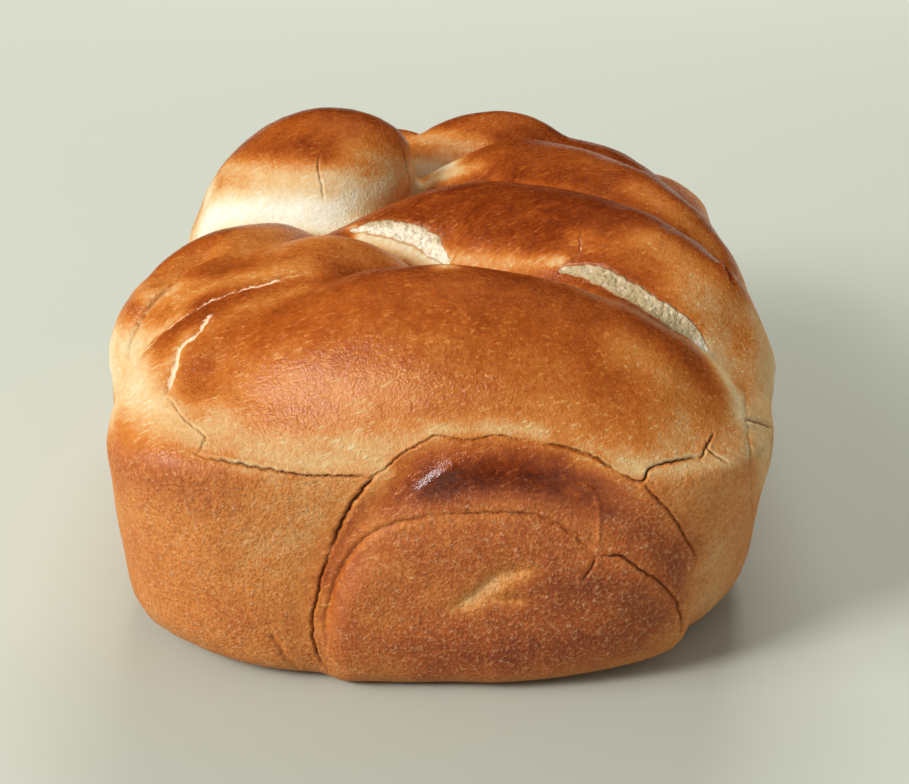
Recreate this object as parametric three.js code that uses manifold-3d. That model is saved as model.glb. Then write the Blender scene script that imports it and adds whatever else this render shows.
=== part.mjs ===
// A plaited brioche baked in a loaf tin. Strands of dough cross over each other and are fused into one
// loaf by the baking: flat-walled where the tin held it, risen into a plait above the rim, with the
// plait's end folded under at the front. Millimetres, +Z up, +Y from the folded end along the loaf.
import * as THREE from "three";
import { mergeVertices } from "three/addons/utils/BufferGeometryUtils.js";
import Module from "manifold-3d";

const wasm = await Module();
wasm.setup();

// The tin's inside at its rim, and how its walls, corners and the dough's lower edge go in below it. The
// loaf sagged a little to the left as it cooled, so its left wall leans out where its right leans in.
const TIN_WIDTH = 126;
const TIN_LENGTH = 184;
const TIN_DEPTH = 45.5;
const END_LEAN = 1;
const LEFT = { lean: -0.4, rimCorner: 22, baseCorner: 40 };
const RIGHT = { lean: 2, rimCorner: 23, baseCorner: 52 };
const BASE_ROUND = 9;
const BLOCK_GAP = 0.3; // how far the dough between the strands lies short of the tin
const OVERHANG = 5; // how far the risen dough may lean out over the rim
const FLARE = 15; // how much further it may lean out at the mould's top
const MOULD_TOP = 100;

const FRONT = -TIN_LENGTH / 2;
const ROOT_SINK = 7; // how much lower than its crest a strand starts

// The plait from the folded end to the far end. A strand starts near the middle, climbs over its crest and
// comes down at its side of the loaf: side +1 is right, seen from the folded end. Its crest is "at" that far
// back from the folded end and "ridge" high. inner and outer are its start's and its shoulder's distances
// from the middle plane, and lead and trail how far behind the crest they lie. shoulder and foot are the
// heights at which it turns down and ends, and tuck is how far in it leans on its way down. girth is the
// strand's radius, and taper and end the share of it that is left at its start and at the shoulder.
const STRANDS = [
  {
    side: 1, at: 29, ridge: 74, girth: 29, taper: 0.84, end: 0.86,
    inner: -46, lead: -7, outer: 39, trail: -6, shoulder: 34, tuck: 2, foot: -50,
  },
  {
    side: -1, at: 60, ridge: 70.5, girth: 23, taper: 0.58, end: 0.74,
    inner: -1, lead: -5, outer: 46, trail: -36, shoulder: 40, tuck: 8, foot: 8,
  },
  {
    side: 1, at: 88, ridge: 74, girth: 24, taper: 0.4, end: 0.96,
    inner: -30, lead: -4, outer: 43.5, trail: -37, shoulder: 45.5, tuck: 2, foot: -50,
  },
  {
    side: -1, at: 82, ridge: 66, girth: 17, taper: 0.6, end: 0.9,
    inner: 20, lead: 4, outer: 52.5, trail: -32, shoulder: 47.5, tuck: 2, foot: -50,
  },
  {
    side: 1, at: 126, ridge: 73, girth: 24, taper: 0.5, end: 0.96,
    inner: -14, lead: -2, outer: 44, trail: -40, shoulder: 42, tuck: 2, foot: -50,
  },
  {
    side: -1, at: 122, ridge: 81, girth: 28, taper: 0.9, end: 0.88,
    inner: 14, lead: 0, outer: 37, trail: -2, shoulder: 47, tuck: 2, foot: 10,
  },
  {
    side: -1, at: 104, ridge: 58, girth: 18, taper: 0.7, end: 0.9,
    inner: 20, lead: 0, outer: 44, trail: -4, shoulder: 34, tuck: 2, foot: -50,
  },
  {
    side: 1, at: 152, ridge: 66.5, girth: 20, taper: 0.6, end: 1,
    inner: 6, lead: -2, outer: 43, trail: -24, shoulder: 37, tuck: 2, foot: -50,
  },
  {
    side: -1, at: 157, ridge: 71.5, girth: 16, taper: 0.8, end: 0.9,
    inner: -32, lead: -4, outer: 12, trail: -2, shoulder: 40, tuck: 2, foot: -50,
  },
  {
    side: -1, at: 164, ridge: 65, girth: 23, taper: 0.7, end: 0.95,
    inner: -8, lead: 0, outer: 41, trail: -4, shoulder: 36, tuck: 2, foot: -50,
  },
  {
    side: 1, at: 165, ridge: 61, girth: 22, taper: 0.7, end: 0.95,
    inner: -12, lead: 0, outer: 42, trail: -2, shoulder: 31, tuck: 2, foot: -50,
  },
];
const STRAND_ROUND = 28; // faces round a strand
const STRAND_LONG = 32; // faces along it

// The folded-under end: a roll of dough against the front wall, and on it the end's own flat face.
const KNOT_X = 11;
const PAD_ROUND = 56;
const ROLL = { halfWidth: 36, middle: 12, top: 53, foot: -12, stands: 1.2, rounding: 10 };
const FACE = { halfWidth: 31, middle: 11, top: 37, foot: -5, stands: 2.6, rounding: 3 };

// Closed solid of a geometry whose seams are welded.
function solid(geometry) {
  const bare = new THREE.BufferGeometry();
  bare.setAttribute("position", geometry.getAttribute("position"));
  if (geometry.index) {
    bare.setIndex(geometry.index);
  }
  const welded = mergeVertices(bare, 1e-3);
  const mesh = new wasm.Mesh({
    numProp: 3,
    vertProperties: new Float32Array(welded.getAttribute("position").array),
    triVerts: new Uint32Array(welded.index.array),
  });
  return new wasm.Manifold(mesh);
}

// Corner points, anticlockwise, of a rectangle with round corners that may differ on its left and right.
function roundedRing(left, right, halfLength, leftCorner, rightCorner, z, steps = 8) {
  const ring = [];
  const quarters = [
    [right - rightCorner, 1, rightCorner],
    [left + leftCorner, 1, leftCorner],
    [left + leftCorner, -1, leftCorner],
    [right - rightCorner, -1, rightCorner],
  ];
  quarters.forEach(([middle, along, corner], quarter) => {
    for (let i = 0; i <= steps; i++) {
      const angle = (quarter + i / steps) * (Math.PI / 2);
      const x = middle + corner * Math.cos(angle);
      const y = along * (halfLength - corner) + corner * Math.sin(angle);
      ring.push(new THREE.Vector3(x, y, z));
    }
  });
  return ring;
}

// Skin through rings of equal count, closed flat at both ends.
function loft(rings) {
  const count = rings[0].length;
  const faces = [];
  for (let level = 0; level + 1 < rings.length; level++) {
    for (let i = 0; i < count; i++) {
      const a = level * count + i;
      const b = level * count + ((i + 1) % count);
      faces.push(a, b, b + count, a, b + count, a + count);
    }
  }
  const top = (rings.length - 1) * count;
  for (let i = 1; i + 1 < count; i++) {
    faces.push(0, i + 1, i);
    faces.push(top, top + i, top + i + 1);
  }
  const geometry = new THREE.BufferGeometry().setFromPoints(rings.flat());
  geometry.setIndex(faces);
  return geometry;
}

// The tin's inside at one height, grown outward by an amount.
function tinRing(z, grow = 0, growAlong = grow) {
  const rise = Math.min(z / TIN_DEPTH, 1);
  const curl = z < BASE_ROUND ? BASE_ROUND - Math.sqrt(BASE_ROUND ** 2 - (BASE_ROUND - z) ** 2) : 0;
  const inset = (lean) => curl + lean * (1 - rise);
  const corner = ({ rimCorner, baseCorner }) =>
    Math.max(THREE.MathUtils.lerp(baseCorner, rimCorner, rise) + Math.min(grow, 0), 8);
  return roundedRing(
    -TIN_WIDTH / 2 + inset(LEFT.lean) - grow,
    TIN_WIDTH / 2 - inset(RIGHT.lean) + grow,
    TIN_LENGTH / 2 - inset(END_LEAN) + growAlong,
    corner(LEFT),
    corner(RIGHT),
    z,
  );
}
const footLevels = [0, 0.5, 2, 4.5, 9, 20, 34];
const domeLevels = [
  [TIN_DEPTH, -BLOCK_GAP],
  [48.5, -3],
  [51, -7],
  [53, -13],
  [54, -21],
];
const block = solid(
  loft([
    ...footLevels.map((z) => tinRing(z, -BLOCK_GAP)),
    ...domeLevels.map(([z, grow]) => tinRing(z, grow)),
  ]),
);
const mould = solid(
  loft([
    ...footLevels.map((z) => tinRing(z)),
    tinRing(TIN_DEPTH - 1),
    tinRing(TIN_DEPTH + 2, OVERHANG * 0.6),
    tinRing(TIN_DEPTH + 6, OVERHANG),
    tinRing(MOULD_TOP, OVERHANG + FLARE),
  ]),
);

// A strand: a ball stretched along a bent path, its girth given at the path's points.
function strand(path, girths, fullness = 0.62) {
  const curve = new THREE.CatmullRomCurve3(path, false, "centripetal");
  const girthCurve = new THREE.CatmullRomCurve3(
    girths.map((girth, i) => new THREE.Vector3(girth, i, 0)),
    false,
    "centripetal",
  );
  const sphere = new THREE.SphereGeometry(1, STRAND_ROUND, STRAND_LONG);
  const corners = sphere.getAttribute("position");
  for (let i = 0; i < corners.count; i++) {
    const t = THREE.MathUtils.clamp((1 - corners.getY(i)) / 2, 0, 1);
    const place = curve.getPoint(t);
    const tangent = curve.getTangent(t);
    const along = new THREE.Vector3(0, 1, 0);
    along.addScaledVector(tangent, -along.dot(tangent)).normalize();
    const out = new THREE.Vector3().crossVectors(tangent, along);
    const spread = Math.hypot(corners.getX(i), corners.getZ(i)) || 1;
    const radius = girthCurve.getPoint(t).x * spread ** fullness;
    place.addScaledVector(along, (radius * corners.getX(i)) / spread);
    place.addScaledVector(out, (radius * corners.getZ(i)) / spread);
    corners.setXYZ(i, place.x, place.y, place.z);
  }
  return solid(sphere);
}

// A strand of the plait: from its start near the middle over its crest to the shoulder, and down the wall.
function plaitStrand(shape) {
  const { side, at, ridge, girth, taper, end } = shape;
  const { inner, lead, outer, trail, shoulder, tuck, foot } = shape;
  const crest = ridge - girth;
  const middle = THREE.MathUtils.lerp(inner, outer, 0.5);
  const y = FRONT + at;
  return strand(
    [
      new THREE.Vector3(side * inner, y + lead, ridge - ROOT_SINK - girth * taper),
      new THREE.Vector3(side * middle, y, crest),
      new THREE.Vector3(side * outer, y + trail, shoulder),
      new THREE.Vector3(side * (outer - tuck), y + trail, foot),
    ],
    [girth * taper, girth, girth * end, girth * end],
  );
}

// A pad of dough standing a little proud of the front wall, round in outline and at its edge.
function frontPad({ halfWidth, middle, top, foot, stands, rounding }) {
  const rings = [0, 0.17, 0.34, 0.5, 0.67, 0.84, 1].map((share) => {
    const angle = share * (Math.PI / 2);
    const narrowing = rounding * (1 - Math.cos(angle));
    const y = FRONT - stands + rounding * (1 - Math.sin(angle));
    const ring = [];
    for (let i = 0; i < PAD_ROUND; i++) {
      const turn = (i / PAD_ROUND) * Math.PI * 2;
      const x = KNOT_X + (halfWidth - narrowing) * Math.cos(turn);
      const tall = Math.sin(turn) > 0 ? top - middle : middle - foot;
      ring.push(new THREE.Vector3(x, y, middle + (tall - narrowing) * Math.sin(turn)));
    }
    return ring;
  });
  const rooted = rings[0].map((corner) => new THREE.Vector3(corner.x, FRONT + 30, corner.z));
  return solid(loft([rooted, ...rings]));
}

let fused = block;
for (const each of STRANDS) {
  fused = fused.add(plaitStrand(each));
}
const proudMould = solid(loft([...footLevels, TIN_DEPTH, MOULD_TOP].map((z) => tinRing(z, FACE.stands))));
const foldedEnd = frontPad(ROLL).add(frontPad(FACE)).intersect(proudMould);
fused = fused.intersect(mould).add(foldedEnd);

// Hollows sealed inside, where strands leave a gap, are dropped: the loaf is one skin, filled throughout.
const skins = fused.decompose().filter((shell) => shell.volume() > 0);
const filled = skins.reduce((whole, shell) => whole.add(shell));

// Set down so that the middle of the loaf's bounding box, at the foot, is the origin.
const bounds = filled.boundingBox();
const loaf = filled.translate([
  -(bounds.min[0] + bounds.max[0]) / 2,
  -(bounds.min[1] + bounds.max[1]) / 2,
  -bounds.min[2],
]);

const made = loaf.getMesh();
const skin = new THREE.BufferGeometry();
skin.setAttribute("position", new THREE.BufferAttribute(new Float32Array(made.vertProperties), 3));
skin.setIndex(new THREE.BufferAttribute(new Uint32Array(made.triVerts), 1));
skin.computeVertexNormals();

const crust = new THREE.MeshStandardMaterial({ color: 0xc07a3a, roughness: 0.5, metalness: 0 });
const mesh = new THREE.Mesh(skin, crust);
mesh.name = "loaf";

const group = new THREE.Group();
group.name = "plaited_brioche";
group.add(mesh);
export default group;
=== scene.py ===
"""The plaited brioche in its studio: a tin-baked loaf with a risen, egg-washed plait on top.

The camera comes first, because the cracks and the baked patches of the crust are drawn from where the
photograph was taken. Then the loaf is raised, torn, baked and coloured, and the studio is lit.
"""
import math

import bpy
import numpy as np
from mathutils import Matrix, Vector
from mathutils import noise as dough_noise
from mathutils.bvhtree import BVHTree


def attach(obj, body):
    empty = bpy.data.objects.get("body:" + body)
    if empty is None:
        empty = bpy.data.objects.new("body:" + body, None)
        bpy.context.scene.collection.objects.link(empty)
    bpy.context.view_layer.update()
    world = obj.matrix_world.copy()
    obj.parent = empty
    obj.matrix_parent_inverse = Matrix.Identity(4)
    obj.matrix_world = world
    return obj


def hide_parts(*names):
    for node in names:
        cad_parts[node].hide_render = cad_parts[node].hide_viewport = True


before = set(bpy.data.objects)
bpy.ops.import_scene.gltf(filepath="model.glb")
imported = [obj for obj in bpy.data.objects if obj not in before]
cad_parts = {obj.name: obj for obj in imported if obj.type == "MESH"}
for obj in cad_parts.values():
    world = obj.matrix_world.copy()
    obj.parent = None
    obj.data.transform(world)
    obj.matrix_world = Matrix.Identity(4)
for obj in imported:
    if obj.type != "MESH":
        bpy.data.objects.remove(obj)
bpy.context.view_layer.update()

# ---------------------------------------------------------------------------------------------------
# The camera: a long lens close to the table's edge, looking down on the loaf's folded end. Its place
# was worked out from the loaf's straight rim and its foot, which the photograph shows in perspective.
IMAGE_WIDTH, IMAGE_HEIGHT = 909, 784
SENSOR, LENS = 36.0, 82.06
LOOK_DOWN = math.radians(22.0)
LOOK_LEFT = math.radians(1.2)
STAND = (0.0106, -0.4279, 0.1967)

bpy.ops.object.select_all(action="DESELECT")
bpy.ops.object.camera_add(location=STAND, rotation=(math.pi / 2 - LOOK_DOWN, 0, LOOK_LEFT))
camera = bpy.context.object
camera.name = "studio_camera"
camera.data.sensor_width = SENSOR
camera.data.lens = LENS
camera.data.clip_start, camera.data.clip_end = 0.01, 20
bpy.context.scene.camera = camera
bpy.context.view_layer.update()


def sight_line(across, down):
    """Where a picture point's line of sight starts, and its direction."""
    reach = LENS / SENSOR * IMAGE_WIDTH
    aim = Vector((across - IMAGE_WIDTH / 2, IMAGE_HEIGHT / 2 - down, -reach))
    return camera.matrix_world.translation, (camera.matrix_world.to_3x3() @ aim).normalized()


# ---------------------------------------------------------------------------------------------------
# The loaf: a strong dough that rose in its tin, so it keeps the tin's walls below and the plait above.
# It is one piece, raised from the frame's solid and rounded as proving rounds dough.
DOUGH_GRAIN = 0.0016
SETTLING_ROUNDS = 50
PROOF_SWELL = 0.0003
PROOF_STEP = 6
PROOF_FADE = 3
LUMP_SIZE, LUMP_HEIGHT = 0.011, 0.00035

loaf_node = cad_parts["loaf"]
loaf = bpy.data.objects.new("brioche", loaf_node.data.copy())
bpy.context.scene.collection.objects.link(loaf)
bpy.ops.object.select_all(action="DESELECT")
loaf.select_set(True)
bpy.context.view_layer.objects.active = loaf

bpy.ops.object.mode_set(mode="EDIT")
bpy.ops.mesh.select_all(action="SELECT")
bpy.ops.mesh.remove_doubles(threshold=1e-6)
bpy.ops.object.mode_set(mode="OBJECT")


def finish_modifier(kind, **settings):
    """Adds a modifier to the piece in hand, sets it and applies it."""
    bpy.ops.object.modifier_add(type=kind)
    modifier = bpy.context.object.modifiers[-1]
    for name, value in settings.items():
        setattr(modifier, name, value)
    bpy.ops.object.modifier_apply(modifier=modifier.name)


finish_modifier("REMESH", mode="VOXEL", voxel_size=DOUGH_GRAIN)
finish_modifier("SMOOTH", factor=0.5, iterations=5)


def corners_of(piece):
    """The piece's corners and their outward directions, as two arrays."""
    count = len(piece.data.vertices)
    places = np.empty(count * 3)
    piece.data.vertices.foreach_get("co", places)
    outward = np.empty(count * 3)
    piece.data.vertex_normals.foreach_get("vector", outward)
    return places.reshape(-1, 3), outward.reshape(-1, 3)


def move_corners(piece, places):
    """Puts the piece's corners in new places."""
    piece.data.vertices.foreach_set("co", places.ravel())
    piece.data.update()


def edges_of(piece):
    """The piece's edges, as pairs of corner numbers."""
    pairs = np.empty(len(piece.data.edges) * 2, dtype=np.int64)
    piece.data.edges.foreach_get("vertices", pairs)
    return pairs.reshape(-1, 2)


def spread_out(values, pairs, rounds):
    """Evens values out over neighbouring corners, round after round."""
    count = len(values)
    near = np.bincount(pairs[:, 0], minlength=count) + np.bincount(pairs[:, 1], minlength=count)
    near = np.maximum(near, 1)
    for _ in range(rounds):
        total = np.bincount(pairs[:, 0], values[pairs[:, 1]], count)
        total += np.bincount(pairs[:, 1], values[pairs[:, 0]], count)
        values = 0.5 * values + 0.5 * total / near
    return values


def evened(places, pairs, rounds):
    """The corners' places after evening."""
    return np.stack([spread_out(places[:, axis], pairs, rounds) for axis in range(3)], axis=1)


def smooth_line(points, spacing):
    """A picture line through the points, bent smoothly and sampled evenly."""
    knots = np.array(points, dtype=float)
    padded = np.vstack([2 * knots[0] - knots[1], knots, 2 * knots[-1] - knots[-2]])
    line = []
    for before, start, end, after in zip(padded, padded[1:], padded[2:], padded[3:]):
        pieces = max(1, round(np.linalg.norm(end - start) / spacing))
        for share in np.arange(pieces) / pieces:
            line.append(0.5 * (
                2 * start
                + (end - before) * share
                + (2 * before - 5 * start + 4 * end - after) * share ** 2
                + (3 * start - before - 3 * end + after) * share ** 3
            ))
    line.append(knots[-1])
    return line


def crust_tree(piece):
    """What a line of sight meets first on the piece."""
    corners, _ = corners_of(piece)
    faces = [tuple(face.vertices) for face in piece.data.polygons]
    return BVHTree.FromPolygons([tuple(corner) for corner in corners], faces)


def on_crust(tree, line):
    """Places on the crust behind a picture line, leaving out any that miss the loaf."""
    hits = [tree.ray_cast(*sight_line(across, down))[0] for across, down in line]
    return np.array([hit for hit in hits if hit is not None])


def nearest(line, corners, reach):
    """How far each corner is from a line on the crust, and how far along it, out to a reach."""
    inside = np.all((corners > line.min(axis=0) - reach) & (corners < line.max(axis=0) + reach), axis=1)
    away = np.linalg.norm(corners[inside, None] - line[None], axis=2)
    distance = np.full(len(corners), np.inf)
    along = np.zeros(len(corners))
    distance[inside] = away.min(axis=1)
    along[inside] = away.argmin(axis=1) / max(1, len(line) - 1)
    return distance, along


# Where the proof filled a hollow, rounded an edge or deepened a fold: its picture line, and its reach and
# its swell in millimetres. A swell below nothing draws the dough in.
PROOFED = {
    "under_front_strand": ([(175, 402), (230, 412), (290, 428), (370, 452)], 7, 0.5),
    "above_front_rim": ([(200, 442), (290, 462), (370, 464)], 4, 0.4),
    "behind_front_strand": ([(200, 345), (248, 318), (306, 291), (370, 273)], 6, 1.0),
    "left_saddle": ([(168, 266), (182, 256), (196, 248)], 5, -3.4),
    "left_valley": ([(188, 268), (168, 286), (149, 310), (137, 338)], 3, -0.9),
    "left_side": ([(114, 365), (119, 392), (113, 418)], 8, 1.2),
    "ball_shoulder": ([(376, 120), (400, 134)], 5, 1.3),
    "right_rim": ([(690, 440), (725, 430), (760, 420)], 5, 0.2),
    "right_side": ([(716, 245), (732, 282), (746, 315), (755, 350), (760, 385)], 8, 1.6),
    "right_flanks": ([(640, 262), (690, 282), (730, 320)], 7, 0.1),
    "far_flanks": ([(620, 185), (670, 215), (705, 250)], 6, 0.1),
    "far_crest": ([(630, 172), (660, 190), (685, 210)], 6, 1.0),
}
corners, outward = corners_of(loaf)
settled = evened(corners, edges_of(loaf), SETTLING_ROUNDS)
crust = crust_tree(loaf)
for points, reach, swell in PROOFED.values():
    line = on_crust(crust, smooth_line(points, PROOF_STEP))
    distance, _ = nearest(line, corners, PROOF_FADE * reach / 1000)
    share = np.exp(-(distance / (reach / 1000)) ** 2)[:, None]
    corners = corners + share * (settled - corners + swell / 1000 * outward)
lumps = np.array([dough_noise.noise(Vector(corner) / LUMP_SIZE) for corner in corners])
corners = corners + outward * (PROOF_SWELL + LUMP_HEIGHT * lumps)[:, None]
corners[:, 2] = np.maximum(corners[:, 2], 0)
move_corners(loaf, corners)

# ---------------------------------------------------------------------------------------------------
# The tears: where the dough split as it rose, and the seams where strands and the folded end meet.
# Each is drawn over the crust as the photograph shows it, then sunk in with slightly raised lips.

# A seam gives its points in the picture, its half-width and depth in millimetres, and how dark it is. A
# depth below nothing is a ridge, and a darkness below nothing is a pale scar.
SEAMS = {
    "left_rim": ([(197, 455), (214, 459), (237, 463), (271, 470), (311, 476), (342, 476), (372, 478)],
                 0.22, 0.8, 0.75),
    "over_folded_end": ([(366, 479), (384, 470), (399, 456), (418, 445), (437, 436), (455, 439), (471, 440),
                         (490, 436), (509, 437), (525, 441), (541, 443)], 0.17, 0.6, 0.6),
    "behind_folded_end": ([(541, 443), (568, 448), (592, 456), (606, 465), (619, 472)], 0.22, 0.8, 0.7),
    "right_rim": ([(619, 472), (630, 479), (643, 482), (650, 469), (662, 464), (674, 461), (690, 458),
                   (704, 457)], 0.24, 0.9, 0.75),
    "fork": ([(700, 461), (704, 452), (708, 445), (714, 432)], 0.22, 0.7, 0.75),
    "fork_branch": ([(706, 440), (709, 449), (717, 456), (728, 462)], 0.2, 0.6, 0.65),
    "folded_end_top_left": ([(377, 474), (364, 488), (350, 507), (339, 528), (331, 550)], 0.3, 0.9, 0.8),
    "folded_end_left": ([(331, 550), (322, 574), (317, 597), (313, 622), (315, 648), (329, 673)],
                        0.22, 0.8, 0.7),
    "folded_end_right": ([(643, 482), (652, 494), (665, 507), (675, 520), (690, 545), (697, 562)],
                         0.24, 0.8, 0.5),
    "flap_left": ([(333, 664), (326, 640), (325, 620), (330, 597), (338, 575), (352, 551), (372, 534),
                   (400, 523), (440, 516)], 0.42, 0.55, 0.32),
    "flap_top": ([(440, 516), (480, 514), (520, 515), (545, 519), (575, 535), (587, 546), (596, 556)],
                 0.34, 0.6, 0.36),
    "flap_right": ([(596, 556), (607, 557), (622, 557), (640, 570), (660, 583), (675, 600), (681, 620),
                    (678, 640)], 0.26, 0.8, 0.6),
    "flap_tuck": ([(596, 558), (591, 570), (584, 580)], 0.22, 0.5, 0.45),
    "flap_crease": ([(575, 485), (593, 490), (599, 510), (598, 550)], 0.4, -0.25, 0.0),
    "glossy_fold": ([(414, 496), (434, 481), (458, 464)], 1.3, -0.6, 0.0),
    "pinch": ([(452, 610), (474, 598), (490, 584), (507, 575), (529, 574)], 1.3, 0.7, 0.0),
    "pinch_arm": ([(478, 598), (500, 601), (524, 603)], 1.0, 0.4, 0.0),
    "foot_fold": ([(270, 632), (277, 644), (288, 661), (303, 672)], 0.5, 0.5, 0.3),
    "left_tip": ([(168, 396), (178, 411), (191, 424), (205, 436), (202, 447), (198, 455)], 0.18, 0.5, 0.55),
    "right_corner": ([(745, 380), (747, 421), (750, 450), (752, 480), (752, 528)], 0.5, 0.4, 0.12),
    "right_pinch": ([(746, 420), (757, 422), (766, 426), (777, 427)], 0.35, 0.9, 0.7),
    "ball_crack": ([(322, 152), (318, 163), (319, 175), (322, 187), (322, 200)], 0.2, 0.5, 0.6),
    "ball_side": ([(402, 150), (406, 160), (407, 172), (410, 184), (404, 196)], 0.35, 0.6, 0.3),
    "left_fold": ([(186, 272), (166, 290), (146, 314), (132, 340), (126, 372)], 0.5, 0.5, 0.15),
    "side_slit": ([(723, 264), (729, 274), (735, 286)], 0.4, 1.1, 0.8),
    "left_scar": ([(213, 312), (195, 335), (180, 347), (173, 375), (165, 398)], 0.6, 0.4, -0.9),
    "long_scar": ([(320, 271), (290, 276), (262, 284), (235, 291), (205, 303), (165, 330), (135, 360)],
                  0.5, 0.4, -0.7),
    "far_scar": ([(582, 225), (580, 250), (572, 262)], 0.3, 0.3, -0.5),
}
# The same on the sides that the photograph doesn't show, as points beside the crust in millimetres: the
# valleys between strands run on down the walls, and the rim cracked as the plait rose out of the tin.
HIDDEN_SEAMS = {
    "right_valley_1": ([(75, -28, 46), (75, -22, 36), (75, -19, 24)], 0.35, 0.6, 0.3),
    "right_valley_2": ([(75, 16, 46), (75, 23, 34), (75, 26, 22)], 0.3, 0.5, 0.3),
    "right_valley_3": ([(75, 50, 46), (75, 56, 36)], 0.3, 0.5, 0.25),
    "left_valley_1": ([(-75, -22, 46), (-75, -29, 34), (-75, -33, 20)], 0.35, 0.6, 0.3),
    "left_valley_2": ([(-75, 26, 46), (-75, 19, 33)], 0.3, 0.5, 0.25),
    "left_valley_3": ([(-75, 62, 46), (-75, 55, 32), (-75, 51, 18)], 0.35, 0.6, 0.3),
    "back_valley_1": ([(-22, 110, 46), (-14, 110, 34), (-11, 110, 20)], 0.35, 0.6, 0.3),
    "back_valley_2": ([(22, 110, 46), (15, 110, 35)], 0.3, 0.5, 0.25),
    "right_rim_1": ([(75, -58, 45.5), (75, -44, 46), (75, -31, 45.5)], 0.22, 0.7, 0.6),
    "right_rim_2": ([(75, 20, 46.5), (75, 38, 46), (75, 48, 45)], 0.22, 0.7, 0.6),
    "left_rim_1": ([(-75, -62, 45.5), (-75, -42, 46), (-75, -25, 45.5)], 0.22, 0.7, 0.6),
    "left_rim_2": ([(-75, 24, 46), (-75, 46, 45.5)], 0.22, 0.7, 0.6),
    "back_rim": ([(-42, 110, 45.5), (-20, 110, 46.5), (12, 110, 45.5)], 0.22, 0.7, 0.6),
}
# A split that tore open, so that its crumb shows: its middle line and half-width.
SPLITS = {
    "right_split": ([(561, 270), (585, 270), (613, 281), (640, 296), (668, 315), (693, 334),
                     (706, 348)], 1.9),
    "left_split": ([(353, 229), (371, 226), (389, 228), (410, 233), (428, 242), (447, 262)], 2.1),
}
FINE_BANDS = (0.0026, 0.0013, 0.0007)
# A crack wanders in pixels where the photograph shows it, and in millimetres on the hidden sides.
SEEN_STEP, SEEN_WANDER = 1.6, 1.7
HIDDEN_STEP, HIDDEN_WANDER = 0.35, 0.5
WANDER_LENGTH = 4.4
WANDER_SEED = 11
# The raised lips beside a crack: where they stand and how wide they are in half-widths, and their rise.
LIP_PLACE, LIP_WIDTH, LIP_RISE = 2.6, 1.3, 0.2
CRACK_TIP, CRACK_OPENING, CRACK_FADE = 0.15, 6, 6
SPLIT_TIP, SPLIT_OPENING, SPLIT_FADE = 0.35, 3, 3
CRUMB_EDGE, LEAST_CRUMB = 0.7, 0.05
CRUMB_GRAIN, CRUMB_RELIEF, CRUMB_DEPTH = 0.0012, 0.0005, 0.0005


def ragged(points, spacing, wander):
    """A line through the points that wanders a little, as a crack does."""
    line = []
    for point in smooth_line(points, spacing):
        shift = dough_noise.noise_vector(Vector((*point, 0)[:3]) / (WANDER_LENGTH * spacing))
        line.append(point + wander * np.array(shift)[:len(point)])
    return line


def beside_crust(tree, line):
    """The places on the crust nearest to a line of points in millimetres."""
    return np.array([tree.find_nearest(Vector(point) / 1000)[0] for point in line])


def opened(along, tip, opening):
    """How far a tear has opened along its length, from its tips to its middle."""
    return np.minimum(1, tip + opening * np.minimum(along, 1 - along))


def refine(piece, chosen):
    """Halves the faces between the chosen corners, and evens them."""
    bpy.ops.object.mode_set(mode="EDIT")
    bpy.ops.mesh.select_mode(type="VERT")
    bpy.ops.mesh.select_all(action="DESELECT")
    bpy.ops.object.mode_set(mode="OBJECT")
    piece.data.vertices.foreach_set("select", chosen)
    bpy.ops.object.mode_set(mode="EDIT")
    bpy.ops.mesh.select_mode(type="FACE")
    bpy.ops.mesh.subdivide(number_cuts=1)
    bpy.ops.mesh.vertices_smooth(factor=0.5, repeat=2)
    bpy.ops.object.mode_set(mode="OBJECT")


dough_noise.seed_set(WANDER_SEED)
crust = crust_tree(loaf)
seam_lines = {}
for name, (points, _, _, _) in SEAMS.items():
    seam_lines[name] = on_crust(crust, ragged(points, SEEN_STEP, SEEN_WANDER))
for name, (points, _, _, _) in HIDDEN_SEAMS.items():
    seam_lines[name] = beside_crust(crust, ragged(points, HIDDEN_STEP, HIDDEN_WANDER))
split_lines = {}
for name, (points, _) in SPLITS.items():
    split_lines[name] = on_crust(crust, ragged(points, SEEN_STEP, SEEN_WANDER))
for band in FINE_BANDS:
    corners, _ = corners_of(loaf)
    chosen = np.zeros(len(corners), dtype=bool)
    for line in seam_lines.values():
        chosen |= nearest(line, corners, band)[0] < band
    for name, line in split_lines.items():
        wide = band + SPLITS[name][1] / 1000
        chosen |= nearest(line, corners, wide)[0] < wide
    refine(loaf, chosen)

corners, outward = corners_of(loaf)
crack, scar, crumb, sunk = np.zeros((4, len(corners)))
for name, (_, half_width, depth, darkness) in {**SEAMS, **HIDDEN_SEAMS}.items():
    wide = half_width / 1000
    distance, along = nearest(seam_lines[name], corners, CRACK_FADE * wide)
    fullness = opened(along, CRACK_TIP, CRACK_OPENING)
    groove = np.exp(-(distance / wide) ** 2) * fullness
    lips = np.exp(-((distance - LIP_PLACE * wide) / (LIP_WIDTH * wide)) ** 2) * fullness
    crack = np.maximum(crack, groove * darkness)
    scar = np.maximum(scar, -groove * darkness)
    sunk += depth / 1000 * (groove - LIP_RISE * lips)
for name, (_, half_width) in SPLITS.items():
    distance, along = nearest(split_lines[name], corners, SPLIT_FADE * half_width / 1000)
    wide = half_width / 1000 * opened(along, SPLIT_TIP, SPLIT_OPENING)
    crumb = np.maximum(crumb, np.exp(-CRUMB_EDGE * (distance / wide) ** 4))
torn = np.flatnonzero(crumb > LEAST_CRUMB)
roughened = [dough_noise.noise(Vector(corner) / CRUMB_GRAIN) for corner in corners[torn]]
sunk[torn] += crumb[torn] * (CRUMB_DEPTH + CRUMB_RELIEF * np.array(roughened))
move_corners(loaf, corners - outward * sunk[:, None])

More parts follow.
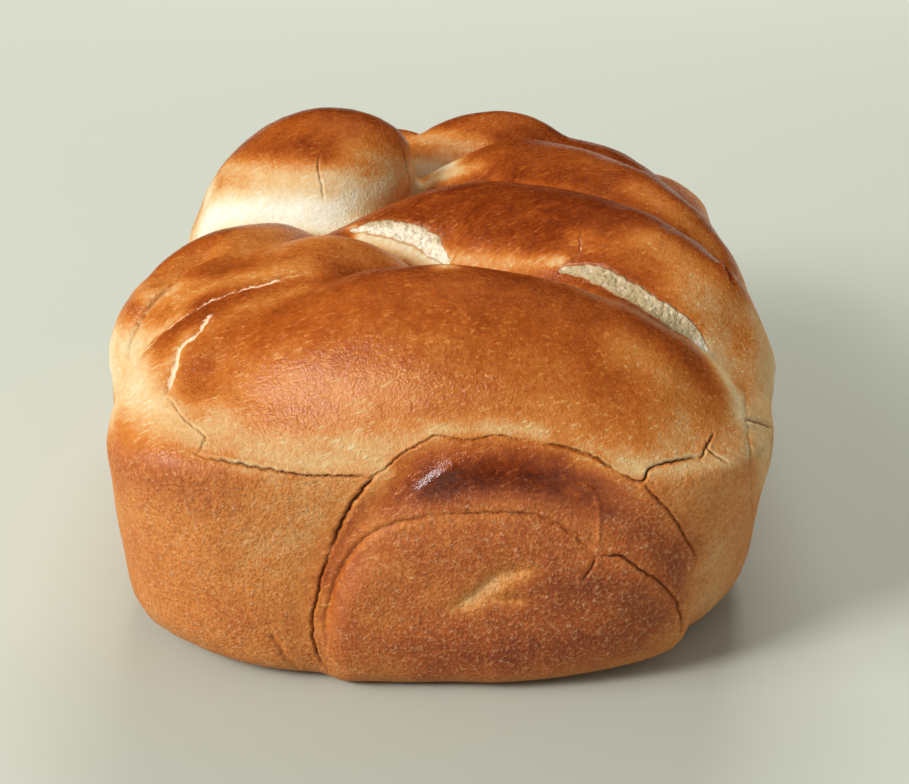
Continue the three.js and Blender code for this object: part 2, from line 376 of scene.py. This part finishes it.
# ---------------------------------------------------------------------------------------------------
# The baking: the tin browns the walls evenly, the oven's top heat browns what faces up, and the dough
# that lay hidden in the creases stays pale. 0 is unbaked cream, and 1 the darkest brown. A few patches on
# this scale also carry painted light and shade.
RIM_HEIGHT = 0.0455
RIM_BLUR = (-0.0018, 0.0014)
WALL_BAKE = 0.53
# Above the rim: the least baking, what height and top heat add, and what a deep crease takes away.
LEAST_BAKE, HEIGHT_BAKE, TOP_HEAT, CREASE_LOSS = 0.2, 0.3, 0.34, 0.2
CROWN_HEIGHT = 0.014
FACING_UP = (0.1, 0.9)
CREASE_ROUNDS = 60
CREASE_DEPTHS = (0.0001, 0.001)
PATCH_STEP = 8
PATCH_FADE = 2.4
BLENDING_ROUNDS = 2
# Patches seen in the photograph: a picture line, a reach in millimetres and how baked it is.
PLAIT_PATCHES = [
    # The small strands at the far end, and the ball on the left.
    ([(480, 120), (530, 118)], 4, 0.7),
    ([(412, 137), (440, 140), (475, 148)], 4, 0.44),
    # The pale tan strand, made paler still as painted light where the lamp leaves it in shadow.
    ([(405, 165), (425, 172), (450, 165)], 4, 0.18),
    ([(270, 130), (310, 122), (360, 128), (395, 140)], 6, 0.7),
    ([(360, 152), (395, 162)], 4, 0.5),
    ([(225, 168), (270, 172), (310, 176), (350, 176)], 3.5, 0.42),
    ([(212, 175), (208, 195)], 3, 0.22),
    ([(415, 190), (440, 178), (480, 165)], 2.5, 0.28),
    ([(170, 278), (230, 250), (300, 243), (380, 252)], 7, 0.6),
    ([(230, 238), (260, 230), (330, 237)], 2, 0.6),
    ([(206, 226), (220, 214), (250, 211), (290, 213), (330, 216), (352, 210)], 6, 0.02),
    ([(376, 192), (394, 180)], 2.5, 0.2),
    ([(355, 215), (380, 200), (400, 180)], 1.2, 0.45),
    # The strands on the right.
    ([(675, 190), (700, 210)], 4, 0.74),
    ([(500, 152), (560, 152), (610, 165)], 6, 0.78),
    ([(640, 190), (680, 215), (715, 250)], 5, 0.6),
    ([(480, 188), (560, 196), (610, 212), (640, 232)], 7, 0.88),
    ([(645, 240), (685, 265), (720, 305)], 6, 0.53),
    ([(580, 240), (640, 262), (690, 285)], 3.5, 0.66),
    ([(690, 290), (715, 325), (738, 370)], 6, 0.49),
    ([(756, 320), (766, 350), (768, 390), (768, 420)], 5, 0.38),
    ([(702, 346), (722, 372), (736, 396), (744, 420)], 3.2, 0.3),
    # The strands on the left.
    ([(270, 252), (330, 247), (390, 257)], 4, 0.64),
    ([(150, 340), (175, 318)], 3, 0.4),
    ([(130, 345), (135, 375), (145, 400), (165, 425), (190, 440)], 6, 0.3),
    ([(172, 365), (190, 335)], 2.5, 0.4),
    ([(125, 290), (150, 298), (175, 290)], 4, 0.46),
    ([(120, 296), (134, 306)], 1.6, 0.84),
    ([(112, 300), (114, 340)], 2, 0.2),
    # The front strand.
    ([(310, 306), (350, 298), (430, 292), (520, 302), (600, 330)], 9, 0.74),
    ([(180, 300), (215, 285), (250, 277), (300, 268)], 5, 0.54),
    ([(212, 328), (250, 306), (300, 290)], 4, 0.6),
    ([(215, 350), (240, 362), (330, 350), (450, 350), (560, 372)], 8, 0.66),
    ([(240, 392), (330, 402), (450, 405), (560, 412), (640, 430)], 5, 0.62),
    # Lighter where the glaze's highlight falls: partly the strand's own tone, partly painted highlight.
    ([(265, 390), (320, 398), (380, 402)], 6, 0.56),
    ([(215, 415), (240, 435), (330, 456), (370, 462)], 3, 0.44),
    ([(430, 431), (480, 428), (540, 434)], 1.6, 0.34),
    ([(630, 350), (665, 378), (690, 415)], 6, 0.54),
    ([(676, 408), (677, 416)], 0.8, 0.35),
    ([(680, 432), (702, 446)], 3, 0.46),
    ([(362, 237), (395, 244), (425, 256), (445, 266)], 2.2, 0.18),
    # The split crumb, in the light on the left, and on the right darkened as painted shade under the strand
    # above it.
    ([(353, 229), (410, 233), (445, 256), (515, 262), (560, 261)], 1.6, 0.36),
    ([(575, 270), (640, 296), (693, 334)], 1.8, 0.7),
]
WALL_PATCHES = [
    # The folded end's skin round its face, and the face with the pinch in its middle.
    ([(400, 462), (440, 450), (500, 448), (560, 458)], 2, 0.6),
    ([(395, 505), (425, 478)], 3.5, 0.8),
    ([(440, 486), (480, 476), (530, 476), (570, 486)], 5, 0.98),
    ([(590, 492), (620, 512), (650, 535), (680, 565)], 5, 0.78),
    ([(372, 505), (345, 535), (326, 580)], 2.5, 0.72),
    ([(345, 650), (342, 600), (372, 558), (430, 540), (500, 536), (560, 552)], 5, 0.7),
    ([(400, 600), (440, 580), (520, 580), (550, 610), (480, 620), (400, 640)], 7, 0.7),
    ([(430, 660), (520, 655), (600, 640), (650, 615), (600, 590), (560, 600)], 6, 0.8),
    ([(452, 610), (472, 600)], 0.8, 0.48),
    ([(472, 600), (488, 588), (502, 580)], 2.2, 0.42),
    ([(500, 577), (528, 573)], 1.4, 0.48),
    ([(485, 600), (520, 603)], 0.9, 0.5),
    # The tin's mark on the left wall, and the pale corner on the right.
    ([(765, 420), (766, 460), (762, 510)], 4, 0.36),
    ([(214, 474), (229, 480)], 1.2, 0.8),
    ([(115, 455), (160, 470), (210, 490)], 7, 0.64),
    ([(150, 560), (220, 610), (280, 640)], 9, 0.6),
    ([(715, 560), (718, 600)], 6, 0.46),
]
# The skin round the folded end's face bulged clear of the tin, so it has no grain.
CLEAR_OF_TIN = [
    (320, 610), (328, 575), (345, 535), (372, 505), (400, 485),
    (440, 470), (500, 470), (560, 475), (600, 492),
]
CLEAR_REACH, CLEAR_FADE = 0.0055, 2


def keep(piece, name, values):
    """Keeps a value for each corner, for the material to read."""
    attribute = piece.data.attributes.new(name, "FLOAT", "POINT")
    attribute.data.foreach_set("value", np.ascontiguousarray(values, dtype=np.float32))


def rise(values, low, high):
    """0 below low, 1 above high, and a smooth rise between them, for each corner."""
    share = np.clip((values - low) / (high - low), 0, 1)
    return share * share * (3 - 2 * share)


corners, outward = corners_of(loaf)
pairs = edges_of(loaf)
hollow = np.sum((evened(corners, pairs, CREASE_ROUNDS) - corners) * outward, axis=1)
height = corners[:, 2] - RIM_HEIGHT
free = rise(height, *RIM_BLUR)
open_baked = LEAST_BAKE + HEIGHT_BAKE * rise(height, 0, CROWN_HEIGHT)
open_baked = open_baked + TOP_HEAT * rise(outward[:, 2], *FACING_UP)
open_baked = open_baked - CREASE_LOSS * rise(hollow, *CREASE_DEPTHS)
tinned = 1 - free
crust = crust_tree(loaf)


def patched(values, patches):
    """How baked each corner is once the patches, a few of them painted light and shade, are laid over it.
    """
    for points, reach, amount in patches:
        line = on_crust(crust, smooth_line(points, PATCH_STEP))
        distance, _ = nearest(line, corners, PATCH_FADE * reach / 1000)
        values = values + np.exp(-(distance / (reach / 1000)) ** 2) * (amount - values)
    return values


baking_and_painted_light = patched(patched(open_baked, PLAIT_PATCHES) * free + WALL_BAKE * tinned, WALL_PATCHES)
baking_and_painted_light = spread_out(baking_and_painted_light, pairs, BLENDING_ROUNDS)
clear_line = on_crust(crust, smooth_line(CLEAR_OF_TIN, PATCH_STEP))
distance, _ = nearest(clear_line, corners, CLEAR_FADE * CLEAR_REACH)
tinned = tinned * (1 - np.exp(-(distance / CLEAR_REACH) ** 4))
keep(loaf, "baking_and_painted_light", baking_and_painted_light)
keep(loaf, "tinned", tinned)
keep(loaf, "crack", crack)
keep(loaf, "scar", scar)
keep(loaf, "crumb", crumb)


# ---------------------------------------------------------------------------------------------------
# The crust: egg-washed and glossy where it browned, dry and pale in the creases, and rough and speckled
# where it lay against the tin.
def tone(code):
    """A material colour from its screen value."""
    parts = [int(code[at:at + 2], 16) / 255 for at in (0, 2, 4)]
    return tuple(((part + 0.055) / 1.055) ** 2.4 if part > 0.04 else part / 12.92 for part in parts) + (1,)


class Wire:
    """A value on its way through a material's nodes, so that its maths reads as sums."""

    def __init__(self, tree, socket=None):
        self.tree = tree
        self.socket = socket

    def make(self, kind, settings=(), inputs=(), output=0):
        """Adds a node, sets it, joins or fills its sockets, and gives one of its outputs."""
        node = self.tree.nodes.new(kind)
        for name, value in dict(settings).items():
            setattr(node, name, value)
        for name, value in dict(inputs).items():
            if isinstance(value, Wire):
                self.tree.links.new(value.socket, node.inputs[name])
            else:
                node.inputs[name].default_value = value
        return Wire(self.tree, node.outputs[output])

    def sum(self, operation, first, second):
        """One sum of two values."""
        return self.make("ShaderNodeMath", {"operation": operation}, {0: first, 1: second})

    def __add__(self, other):
        return self.sum("ADD", self, other)

    def __sub__(self, other):
        return self.sum("SUBTRACT", self, other)

    def __rsub__(self, other):
        return self.sum("SUBTRACT", other, self)

    def __mul__(self, other):
        return self.sum("MULTIPLY", self, other)

    __radd__ = __add__

    def between(self, low, high):
        """0 below low, 1 above high, and a smooth rise between them."""
        return self.make(
            "ShaderNodeMapRange", {"interpolation_type": "SMOOTHSTEP"}, {0: self, 1: low, 2: high}
        )

    def blend(self, under, over):
        """A colour that goes from one to the other as this value rises."""
        return self.make(
            "ShaderNodeMix", {"data_type": "RGBA", "clamp_factor": True}, {0: self, 6: under, 7: over}, 2
        )

    def along(self, stops):
        """The colour this value meets on a scale of colours."""
        scale = self.make("ShaderNodeValToRGB", {}, {"Fac": self})
        ramp = scale.socket.node.color_ramp
        while len(ramp.elements) < len(stops):
            ramp.elements.new(0.5)
        for element, (at, colour) in zip(ramp.elements, stops):
            element.position, element.color = at, colour
        return scale

    def join(self, shader, name):
        """Feeds this value into one of a shader's sockets."""
        self.tree.links.new(self.socket, shader.inputs[name])


crust_finish = bpy.data.materials.new("baked_crust")
crust_finish.use_nodes = True
shader = crust_finish.node_tree.nodes["Principled BSDF"]
start = Wire(crust_finish.node_tree)
place = start.make("ShaderNodeTexCoord", output=3)
# Blisters in the glaze are stretched along the strands.
STRETCH, SLANT = 3.2, math.radians(-24)
stretched = start.make(
    "ShaderNodeMapping", {"vector_type": "TEXTURE"},
    {"Vector": place, "Rotation": (0, SLANT, 0), "Scale": (STRETCH, 1, 1)},
)


def painted(name):
    """A value that the loaf keeps for each corner."""
    return start.make("ShaderNodeAttribute", {"attribute_name": name}, output=2)


def noise(scale, detail, rough=0.5, at=place):
    """An uneven value, finer as its scale goes up."""
    return start.make(
        "ShaderNodeTexNoise", {}, {"Vector": at, "Scale": scale, "Detail": detail, "Roughness": rough}
    )


baking_and_painted_light, tinned = painted("baking_and_painted_light"), painted("tinned")
crack, scar, crumb = painted("crack"), painted("scar"), painted("crumb")
cloud = noise(60, detail=3)
mottle = noise(240, detail=4, rough=0.6)
fleck = noise(1000, detail=3, rough=0.65)
grit = noise(1900, detail=2, rough=0.6)
flour = noise(1450, detail=2, rough=0.6)
speck = noise(850, detail=3, rough=0.7).between(0.57, 0.66) * tinned
blister = noise(1500, detail=2, at=stretched).between(0.57, 0.7) * (1 - tinned)

# How baked it is with all its unevenness and a few patches of painted light and shade, and its colour
# from unbaked cream to the darkest brown.
CLOUD_BAKE, MOTTLE_BAKE, FLECK_BAKE, BLISTER_BAKE = 0.14, 0.18, 0.26, 0.12
uneven_baking_and_painted_light = baking_and_painted_light + (cloud - 0.5) * CLOUD_BAKE + (mottle - 0.5) * MOTTLE_BAKE
uneven_baking_and_painted_light = uneven_baking_and_painted_light + (fleck - 0.5) * FLECK_BAKE - blister * BLISTER_BAKE
BAKING_SCALE = [
    (0.0, tone("e2e1d0")), (0.2, tone("d5c5a0")), (0.38, tone("cda46c")), (0.54, tone("c27630")),
    (0.7, tone("a35018")), (0.85, tone("78300a")), (1.0, tone("451203")),
]
colour = uneven_baking_and_painted_light.along(BAKING_SCALE)

# The tin's grain on the walls, and the crust's dark pores.
GRAIN_LIGHT, GRAIN_DARK, GRAIN_SPECK = tone("dc9a5c"), tone("8c4718"), tone("e2ae80")
CRUST_PORE = tone("5c2a10")
colour = (flour.between(0.52, 0.64) * tinned * 0.3).blend(colour, GRAIN_LIGHT)
colour = (flour.between(0.46, 0.36) * tinned * 0.35).blend(colour, GRAIN_DARK)
colour = (speck * 0.4).blend(colour, GRAIN_SPECK)
colour = (grit.between(0.4, 0.32) * uneven_baking_and_painted_light.between(0.4, 0.7) * 0.35).blend(colour, CRUST_PORE)

# The torn crumb with a darker band round its edge, then the pale scars and the cracks' shade.
CRUMB_FRESH, CRUMB_PAINTED_SHADE, CRUMB_PORE = tone("f1e7cf"), tone("ad976a"), tone("b08350")
TORN_CRUST, SCAR_SKIN, CRACK_SHADE = tone("9a5424"), tone("f0cba8"), tone("582810")
torn_edge = crumb.between(0.02, 0.3) * (1 - crumb.between(0.35, 0.6))
colour = (torn_edge * 0.5).blend(colour, TORN_CRUST)
torn = (crumb + (mottle - 0.5) * 1.1).between(0.3, 0.65)
# The crumb darkens with the baking value, as painted shade where the split lies under a strand.
inside = uneven_baking_and_painted_light.between(0.25, 0.85).blend(CRUMB_FRESH, CRUMB_PAINTED_SHADE)
inside = (grit.between(0.44, 0.34) * 0.5).blend(inside, CRUMB_PORE)
colour = torn.blend(colour, inside)
scarred = (scar + (mottle - 0.5) * 2 + (fleck - 0.5) * 1.2).between(0.3, 0.75) * scar.between(0.02, 0.3)
colour = scarred.blend(colour, SCAR_SKIN)
cracked = (crack + (mottle - 0.5) * 0.7 + (fleck - 0.5) * 0.4).between(0.18, 0.7)
colour = (cracked * 0.9).blend(colour, CRACK_SHADE)
colour.join(shader, "Base Color")

# The egg wash's gloss, at its best where the crust baked darkest.
MATT_CRUST, GLAZE_GLOSS, POLISH_GLOSS, FLECK_MATT = 0.75, 0.48, 0.06, 0.12
glazed = uneven_baking_and_painted_light.between(0.3, 0.65) * (1 - tinned) * (1 - torn)
polished = baking_and_painted_light.between(0.76, 1.04) * (1 - tinned).between(0.5, 1)
matt = MATT_CRUST - glazed * GLAZE_GLOSS - polished * POLISH_GLOSS + (fleck - 0.5) * FLECK_MATT
matt.join(shader, "Roughness")

# The fine relief in metres, smoother where the crust is polished, and open pores in the torn crumb.
DIMPLES, TIN_DIMPLES, FLECK_RELIEF, GRIT_RELIEF = 0.00022, 0.0003, 0.00015, 0.00018
FLOUR_RELIEF, BLISTER_RELIEF, SPECK_RELIEF, PORE_RELIEF = 0.0003, 0.00006, 0.0001, 0.0006
POLISH_SMOOTHING = 0.65
pores = noise(1300, detail=2, rough=0.6)
relief = mottle * (DIMPLES + tinned * TIN_DIMPLES) + fleck * FLECK_RELIEF + grit * GRIT_RELIEF
relief = relief + flour * tinned * FLOUR_RELIEF + blister * BLISTER_RELIEF + speck * SPECK_RELIEF
relief = relief * (1 - polished * POLISH_SMOOTHING) + torn * pores * PORE_RELIEF
bumps = start.make("ShaderNodeBump", {}, {"Strength": 1.0, "Distance": 1.0, "Height": relief})
bumps.join(shader, "Normal")

loaf.data.materials.clear()
loaf.data.materials.append(crust_finish)
bpy.ops.object.shade_smooth()
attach(loaf, "root")
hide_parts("loaf")

# ---------------------------------------------------------------------------------------------------
# The studio: a pale sheet of card for a floor, a large soft lamp on the left, a window beside it that the
# glaze mirrors, a weak lamp on the right and a lamp on the far card.
FLOOR_SIZE = 8
CARD_COLOUR, CARD_ROUGHNESS = tone("b6b9ac"), 0.9
LOAF_MIDDLE, FAR_CARD = (0, 0, 0.04), (0, 1.0, 0)
# Each lamp's place, what it looks at, its size in metres, its power in watts, its colour, and whether the
# glaze mirrors it.
LAMPS = {
    "key_lamp": ((-1.0, -0.57, 0.77), LOAF_MIDDLE, 0.75, 9.8, (1.0, 0.985, 0.96), False),
    "window_lamp": ((-0.72, -0.66, 0.6), LOAF_MIDDLE, 0.3, 9, (1.0, 0.99, 0.98), True),
    "back_lamp": ((0.1, 1.5, 1.2), FAR_CARD, 1.0, 32, (1.0, 1.0, 0.99), False),
    "side_lamp": ((0.9, -0.15, 0.2), LOAF_MIDDLE, 0.4, 1.1, (1.0, 0.98, 0.93), False),
}
AIR_COLOUR, AIR_STRENGTH = (0.9, 0.91, 0.87, 1), 0.36

bpy.ops.object.select_all(action="DESELECT")
bpy.ops.mesh.primitive_plane_add(size=FLOOR_SIZE)
floor = bpy.context.object
floor.name = "studio_floor"
card = bpy.data.materials.new("pale_card")
card.use_nodes = True
card_shader = card.node_tree.nodes["Principled BSDF"]
card_shader.inputs["Base Color"].default_value = CARD_COLOUR
card_shader.inputs["Roughness"].default_value = CARD_ROUGHNESS
floor.data.materials.append(card)

for name, (stand, aim, size, power, warmth, mirrored) in LAMPS.items():
    bpy.ops.object.light_add(type="AREA", location=stand)
    lamp = bpy.context.object
    lamp.name = name
    lamp.data.size = size
    lamp.data.energy = power
    lamp.data.color = warmth
    lamp.rotation_euler = (Vector(aim) - Vector(stand)).to_track_quat("-Z", "Y").to_euler()
    lamp.visible_glossy = mirrored

world = bpy.data.worlds.new("studio_air")
bpy.context.scene.world = world
world.use_nodes = True
air = world.node_tree.nodes["Background"]
air.inputs["Color"].default_value = AIR_COLOUR
air.inputs["Strength"].default_value = AIR_STRENGTH
world.cycles_visibility.glossy = False
bpy.context.scene.view_settings.view_transform = "Standard"
